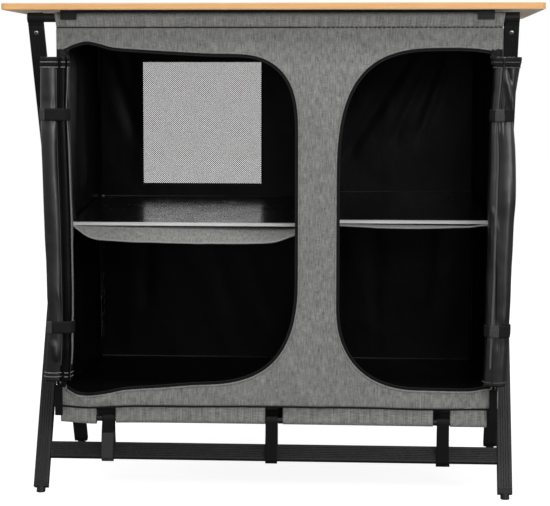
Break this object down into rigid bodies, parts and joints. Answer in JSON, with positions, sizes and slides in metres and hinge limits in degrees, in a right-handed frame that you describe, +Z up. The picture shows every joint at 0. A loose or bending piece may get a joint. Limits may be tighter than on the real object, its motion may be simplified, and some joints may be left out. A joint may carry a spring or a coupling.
{
  "type": "camping cupboard",
  "caption": "Folding camping cupboard: wood-look worktop on crossed black aluminium frames, cloth body with zipped doorways, rolled-up doors, hinged shelves and a net window.",
  "frame": {"origin": "on the ground, under the centre of the whole at rest", "axes": "+X right as seen from the front, +Y towards the back, +Z up"},
  "size_m": [0.89, 0.4796, 0.823],
  "materials": {
    "wood": "satin laminate with fine grain",
    "black_aluminium": "black anodised",
    "black_plastic": "moulded",
    "steel": "plated",
    "grey_cloth": "woven polyester",
    "black_lining": "coated, slightly shiny",
    "net": "open net",
    "shelf_board": "smooth",
    "bright_edge": "bright",
    "black_webbing": "woven band"
  },
  "bodies": {
    "body": {"back_panel": "black_lining", "window_net": "net", "left_side_wall": "grey_cloth", "right_side_wall": "grey_cloth", "divider_wall": "black_lining", "floor_panel": "black_lining", "left_shelf_sling": "grey_cloth", "right_shelf_sling": "grey_cloth", "rear_hem_sleeve": "grey_cloth", "rear_hem_rod": "black_aluminium"},
    "front_frame": {"front_frame_top_rail": "black_aluminium", "front_frame_lower_rail": "black_aluminium", "front_frame_left_upper_tube": "black_aluminium", "front_frame_left_lower_tube": "black_aluminium", "front_frame_left_corner": "black_plastic", "front_frame_left_cross_joint": "black_plastic", "front_frame_left_foot": "black_plastic", "front_frame_right_upper_tube": "black_aluminium", "front_frame_right_lower_tube": "black_aluminium", "front_frame_right_corner": "black_plastic", "front_frame_right_cross_joint": "black_plastic", "front_frame_right_foot": "black_plastic", "left_pivot_bolt": "steel", "right_pivot_bolt": "steel"},
    "rear_frame": {"rear_frame_top_rail": "black_aluminium", "rear_frame_lower_rail": "black_aluminium", "rear_frame_left_upper_tube": "black_aluminium", "rear_frame_left_lower_tube": "black_aluminium", "rear_frame_left_corner": "black_plastic", "rear_frame_left_cross_joint": "black_plastic", "rear_frame_left_foot": "black_plastic", "rear_frame_right_upper_tube": "black_aluminium", "rear_frame_right_lower_tube": "black_aluminium", "rear_frame_right_corner": "black_plastic", "rear_frame_right_cross_joint": "black_plastic", "rear_frame_right_foot": "black_plastic"},
    "front_cloth": {"front_panel": "grey_cloth", "front_hem_sleeve": "grey_cloth", "front_hem_rod": "black_aluminium", "left_hem_strap": "black_webbing", "middle_hem_strap": "black_webbing", "right_hem_strap": "black_webbing", "left_rolled_door": "black_lining", "left_door_upper_tie": "black_webbing", "left_door_lower_tie": "black_webbing", "right_rolled_door": "black_lining", "right_door_upper_tie": "black_webbing", "right_door_lower_tie": "black_webbing"},
    "worktop": {"worktop": "wood", "worktop_front_hook_bar": "black_plastic", "worktop_rear_hook_bar": "black_plastic"},
    "left_shelf": {"left_shelf": "shelf_board", "left_shelf_edge": "bright_edge"},
    "right_shelf": {"right_shelf": "shelf_board", "right_shelf_edge": "bright_edge"},
    "left_zip_slider": {"left_zip_slider": "steel"},
    "right_zip_slider": {"right_zip_slider": "steel"},
    "left_pull_tag": {"left_pull_tag": "black_webbing"},
    "right_pull_tag": {"right_pull_tag": "black_webbing"}
  },
  "joints": [
    {"name": "fold", "type": "hinge", "parent": "body", "child": "front_frame", "pos_m": [0, 0.20985, 0.7999], "axis": [1, 0, 0], "range_deg": [0, 23.41], "deforming": ["front_panel", "left_side_wall", "right_side_wall", "divider_wall", "floor_panel", "left_shelf_sling", "right_shelf_sling", "front_hem_sleeve", "rear_hem_sleeve", "left_hem_strap", "middle_hem_strap", "right_hem_strap"]},
    {"name": "cross_pivot", "type": "hinge", "parent": "front_frame", "child": "rear_frame", "pos_m": [0, 0.01485, 0.40521], "axis": [1, 0, 0], "range_deg": [-46.82, 0]},
    {"name": "front_travel", "type": "slide", "parent": "body", "child": "front_cloth", "axis": [0, 1, 0], "range_m": [0, 0.3458]},
    {"name": "left_shelf_hinge", "type": "hinge", "parent": "body", "child": "left_shelf", "pos_m": [0, 0.21729, 0.47488], "axis": [1, 0, 0], "range_deg": [0, 82.55]},
    {"name": "right_shelf_hinge", "type": "hinge", "parent": "body", "child": "right_shelf", "pos_m": [0, 0.21732, 0.48501], "axis": [1, 0, 0], "range_deg": [0, 81.85]},
    {"name": "worktop_lift", "type": "slide", "parent": "body", "child": "worktop", "axis": [0, 0, 1], "range_m": [0, 0.25]},
    {"name": "left_zip", "type": "slide", "parent": "front_cloth", "child": "left_zip_slider", "axis": [1, 0, 0], "range_m": [0, 0.24]},
    {"name": "right_zip", "type": "slide", "parent": "front_cloth", "child": "right_zip_slider", "axis": [-1, 0, 0], "range_m": [0, 0.15]},
    {"name": "left_tag_swing", "type": "hinge", "parent": "left_zip_slider", "child": "left_pull_tag", "pos_m": [-0.358, -0.19535, 0.19], "axis": [-1, 0, 0], "range_deg": [0, 90]},
    {"name": "right_tag_swing", "type": "hinge", "parent": "right_zip_slider", "child": "right_pull_tag", "pos_m": [0.37, -0.19535, 0.19], "axis": [-1, 0, 0], "range_deg": [0, 90]}
  ],
  "couplings": [
    {"joint": "cross_pivot", "follows": "fold", "ratio": -2},
    {"joint": "front_travel", "follows": "fold", "m_per_rad": 0.84616},
    {"joint": "left_shelf_hinge", "follows": "fold", "ratio": 3.5246},
    {"joint": "right_shelf_hinge", "follows": "fold", "ratio": 3.4947}
  ]
}
